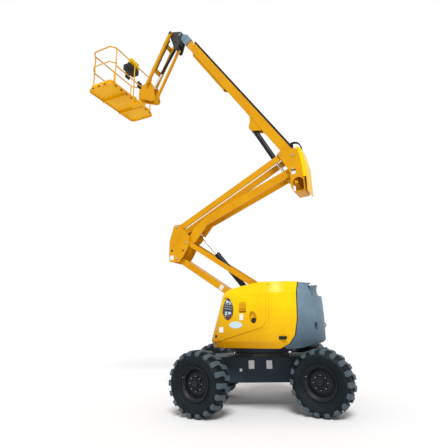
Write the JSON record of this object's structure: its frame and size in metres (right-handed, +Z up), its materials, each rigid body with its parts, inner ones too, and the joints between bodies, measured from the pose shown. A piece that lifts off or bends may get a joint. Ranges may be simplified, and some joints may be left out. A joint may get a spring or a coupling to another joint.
{
  "type": "articulating boom lift",
  "caption": "Self-propelled articulating boom lift with steered wheels, a slewing turret, folding arms, a telescopic boom and a jib with a work basket.",
  "frame": {"origin": "on the ground under the slewing centre", "axes": "+X towards the front axle, +Y the machine's left, +Z up"},
  "size_m": [5.6378, 3.6877, 8.6987],
  "materials": {
    "hood_paint": "semi-gloss",
    "arm_paint": "semi-gloss",
    "weight_paint": "semi-gloss",
    "frame_paint": "semi-gloss",
    "tyre_rubber": "matte",
    "rim_paint": "semi-gloss",
    "cast_black": "satin",
    "cylinder_paint": "semi-gloss",
    "rod_chrome": "polished",
    "black_plastic": "matte",
    "rail_paint": "semi-gloss",
    "engine_iron": "satin"
  },
  "bodies": {
    "chassis": {"chassis_frame": "frame_paint", "axle_front": "cast_black", "axle_rear": "cast_black", "slew_ring": "cast_black"},
    "steer_front_left": {"steering_knuckle_front_left": "cast_black"},
    "wheel_front_left": {"tyre_front_left": "tyre_rubber", "rim_front_left": "rim_paint"},
    "steer_front_right": {"steering_knuckle_front_right": "cast_black"},
    "wheel_front_right": {"tyre_front_right": "tyre_rubber", "rim_front_right": "rim_paint"},
    "steer_rear_left": {"steering_knuckle_rear_left": "cast_black"},
    "wheel_rear_left": {"tyre_rear_left": "tyre_rubber", "rim_rear_left": "rim_paint"},
    "steer_rear_right": {"steering_knuckle_rear_right": "cast_black"},
    "wheel_rear_right": {"tyre_rear_right": "tyre_rubber", "rim_rear_right": "rim_paint"},
    "turret": {"turret_deck": "frame_paint", "counterweight": "weight_paint", "engine_block": "engine_iron", "fluid_tanks": "black_plastic"},
    "hood_left": {"hood_left": "hood_paint"},
    "hood_right": {"hood_right": "hood_paint"},
    "lower_arm": {"lower_arm": "arm_paint"},
    "lower_tie": {"lower_tie_rods": "arm_paint"},
    "front_knuckle": {"front_knuckle": "arm_paint"},
    "upper_arm": {"upper_arm": "arm_paint"},
    "upper_tie": {"upper_tie_rods": "arm_paint"},
    "rear_knuckle": {"rear_knuckle": "arm_paint", "rear_knuckle_cover": "hood_paint"},
    "arm_cylinder_barrel": {"arm_cylinder_barrel": "cylinder_paint"},
    "arm_cylinder_rod": {"arm_cylinder_rod": "rod_chrome"},
    "boom": {"boom_outer": "arm_paint", "cable_chain": "black_plastic"},
    "boom_cylinder_barrel": {"boom_cylinder_barrel": "cylinder_paint"},
    "boom_cylinder_rod": {"boom_cylinder_rod": "rod_chrome"},
    "boom_inner": {"boom_inner": "arm_paint", "boom_head": "weight_paint"},
    "jib_bracket": {"jib_bracket": "cast_black"},
    "jib_arm": {"jib_arm": "arm_paint"},
    "jib_levelling_rod": {"jib_levelling_rod": "arm_paint"},
    "platform_support": {"platform_support": "arm_paint"},
    "jib_cylinder_barrel": {"jib_cylinder_barrel": "cylinder_paint"},
    "jib_cylinder_rod": {"jib_cylinder_rod": "rod_chrome"},
    "basket": {"basket_floor": "rail_paint", "basket_rails": "rail_paint", "basket_console": "black_plastic"},
    "entry_bar": {"basket_entry_bar": "rail_paint"}
  },
  "joints": [
    {"name": "steer_front_left", "type": "hinge", "parent": "chassis", "child": "steer_front_left", "pos_m": [0.985, 0.78, 0.51], "axis": [0, 0, 1], "range_deg": [-6, 60]},
    {"name": "spin_front_left", "type": "hinge", "parent": "steer_front_left", "child": "wheel_front_left", "pos_m": [1.06445, 0.93593, 0.51], "axis": [0.454, 0.891, 0], "continuous": true},
    {"name": "steer_front_right", "type": "hinge", "parent": "chassis", "child": "steer_front_right", "pos_m": [0.985, -0.78, 0.51], "axis": [0, 0, 1], "range_deg": [-6, 60]},
    {"name": "spin_front_right", "type": "hinge", "parent": "steer_front_right", "child": "wheel_front_right", "pos_m": [0.90555, -0.93593, 0.51], "axis": [0.454, 0.891, 0], "continuous": true},
    {"name": "steer_rear_left", "type": "hinge", "parent": "chassis", "child": "steer_rear_left", "pos_m": [-0.985, 0.78, 0.51], "axis": [0, 0, 1], "range_deg": [-6, 60]},
    {"name": "spin_rear_left", "type": "hinge", "parent": "steer_rear_left", "child": "wheel_rear_left", "pos_m": [-0.90555, 0.93593, 0.51], "axis": [0.454, 0.891, 0], "continuous": true},
    {"name": "steer_rear_right", "type": "hinge", "parent": "chassis", "child": "steer_rear_right", "pos_m": [-0.985, -0.78, 0.51], "axis": [0, 0, 1], "range_deg": [-6, 60]},
    {"name": "spin_rear_right", "type": "hinge", "parent": "steer_rear_right", "child": "wheel_rear_right", "pos_m": [-1.06445, -0.93593, 0.51], "axis": [0.454, 0.891, 0], "continuous": true},
    {"name": "slew", "type": "hinge", "parent": "chassis", "child": "turret", "pos_m": [0, 0, 0.9], "axis": [0, 0, 1], "continuous": true},
    {"name": "hood_left", "type": "hinge", "parent": "turret", "child": "hood_left", "pos_m": [-0.06688, 0.3543, 2.11], "axis": [0.9205, -0.3907, 0], "range_deg": [0, 70]},
    {"name": "hood_right", "type": "hinge", "parent": "turret", "child": "hood_right", "pos_m": [-0.30132, -0.198, 2.11], "axis": [-0.9205, 0.3907, 0], "range_deg": [0, 70]},
    {"name": "arms_lift", "type": "hinge", "parent": "turret", "child": "lower_arm", "pos_m": [-0.13992, 0.05939, 1.518], "axis": [-0.3907, -0.9205, 0], "range_deg": [-36.3, 36.7]},
    {"name": "lower_tie", "type": "hinge", "parent": "turret", "child": "lower_tie", "pos_m": [-0.3636, 0.15434, 1.845], "axis": [-0.3907, -0.9205, 0], "range_deg": [-36.3, 36.7]},
    {"name": "front_knuckle_level", "type": "hinge", "parent": "lower_arm", "child": "front_knuckle", "pos_m": [1.62962, -0.69173, 2.78075], "axis": [0.3907, 0.9205, 0], "range_deg": [-36.3, 36.7]},
    {"name": "upper_arm", "type": "hinge", "parent": "front_knuckle", "child": "upper_arm", "pos_m": [1.40594, -0.59679, 3.10775], "axis": [0.3907, 0.9205, 0], "range_deg": [-26.11, 26.4]},
    {"name": "upper_tie", "type": "hinge", "parent": "front_knuckle", "child": "upper_tie", "pos_m": [1.64159, -0.69681, 3.46575], "axis": [0.3907, 0.9205, 0], "range_deg": [-26.11, 26.4]},
    {"name": "rear_knuckle_level", "type": "hinge", "parent": "upper_arm", "child": "rear_knuckle", "pos_m": [-0.79017, 0.33541, 4.32861], "axis": [-0.3907, -0.9205, 0], "range_deg": [-26.11, 26.4]},
    {"name": "arm_cylinder_swing", "type": "hinge", "parent": "lower_arm", "child": "arm_cylinder_barrel", "pos_m": [0.00563, -0.00239, 1.76544], "axis": [-0.3907, -0.9205, 0], "range_deg": [-3.29, 3.32]},
    {"name": "arm_cylinder_stroke", "type": "slide", "parent": "arm_cylinder_barrel", "child": "arm_cylinder_rod", "axis": [0.5952, -0.2527, 0.7628], "range_m": [-0.50734, 0.51293]},
    {"name": "boom_lift", "type": "hinge", "parent": "rear_knuckle", "child": "boom", "pos_m": [-0.81227, 0.34479, 4.61061], "axis": [-0.3907, -0.9205, 0], "range_deg": [-55.9, 19.1]},
    {"name": "boom_cylinder_swing", "type": "hinge", "parent": "boom", "child": "boom_cylinder_barrel", "pos_m": [-0.00351, 0.00149, 5.4927], "axis": [-0.3907, -0.9205, 0], "range_deg": [-2.53, 7.38]},
    {"name": "boom_cylinder_stroke", "type": "slide", "parent": "boom_cylinder_barrel", "child": "boom_cylinder_rod", "axis": [-0.4431, 0.1881, -0.8765], "range_m": [-0.38822, 0.13298]},
    {"name": "telescope", "type": "slide", "parent": "boom", "child": "boom_inner", "axis": [0.5161, -0.2191, 0.8281], "range_m": [0, 3]},
    {"name": "bracket_level", "type": "hinge", "parent": "boom_inner", "child": "jib_bracket", "pos_m": [1.70029, -0.72173, 8.5351], "axis": [0.3907, 0.9205, 0], "range_deg": [-55.9, 19.1]},
    {"name": "jib_lift", "type": "hinge", "parent": "jib_bracket", "child": "jib_arm", "pos_m": [1.93409, -0.82098, 8.6401], "axis": [-0.3907, -0.9205, 0], "range_deg": [-8, 117]},
    {"name": "jib_levelling_rod", "type": "hinge", "parent": "jib_bracket", "child": "jib_levelling_rod", "pos_m": [1.79142, -0.76041, 8.1641], "axis": [-0.3907, -0.9205, 0], "range_deg": [-8, 117]},
    {"name": "support_level", "type": "hinge", "parent": "jib_arm", "child": "platform_support", "pos_m": [2.53911, -1.07779, 7.40398], "axis": [0.3907, 0.9205, 0], "range_deg": [-8, 117]},
    {"name": "jib_cylinder_swing", "type": "hinge", "parent": "jib_bracket", "child": "jib_cylinder_barrel", "pos_m": [1.81443, -0.77018, 8.3701], "axis": [-0.3907, -0.9205, 0], "range_deg": [-7.78, 113.51]},
    {"name": "jib_cylinder_stroke", "type": "slide", "parent": "jib_cylinder_barrel", "child": "jib_cylinder_rod", "axis": [0.5156, -0.2188, -0.8284], "range_m": [-0.02479, 0.35581]},
    {"name": "basket_turn", "type": "hinge", "parent": "platform_support", "child": "basket", "pos_m": [2.80882, -1.19227, 7.40398], "axis": [0, 0, 1], "range_deg": [-90, 90]},
    {"name": "entry_bar", "type": "slide", "parent": "basket", "child": "entry_bar", "axis": [0, 0, 1], "range_m": [0, 0.38]}
  ],
  "couplings": [
    {"joint": "steer_front_right", "follows": "steer_front_left", "ratio": 1},
    {"joint": "steer_rear_right", "follows": "steer_rear_left", "ratio": 1},
    {"joint": "lower_tie", "follows": "arms_lift", "ratio": 1},
    {"joint": "front_knuckle_level", "follows": "arms_lift", "ratio": 1},
    {"joint": "upper_arm", "follows": "arms_lift", "ratio": 0.719},
    {"joint": "upper_tie", "follows": "arms_lift", "ratio": 0.719},
    {"joint": "rear_knuckle_level", "follows": "arms_lift", "ratio": 0.719},
    {"joint": "arm_cylinder_swing", "follows": "arms_lift", "ratio": 0.09},
    {"joint": "arm_cylinder_stroke", "follows": "arms_lift", "m_per_rad": 0.8},
    {"joint": "boom_cylinder_swing", "follows": "boom_lift", "ratio": -0.1316},
    {"joint": "boom_cylinder_stroke", "follows": "boom_lift", "m_per_rad": 0.3974},
    {"joint": "bracket_level", "follows": "boom_lift", "ratio": 1},
    {"joint": "jib_levelling_rod", "follows": "jib_lift", "ratio": 1},
    {"joint": "support_level", "follows": "jib_lift", "ratio": 1},
    {"joint": "jib_cylinder_swing", "follows": "jib_lift", "ratio": 0.97},
    {"joint": "jib_cylinder_stroke", "follows": "jib_lift", "m_per_rad": 0.174}
  ]
}
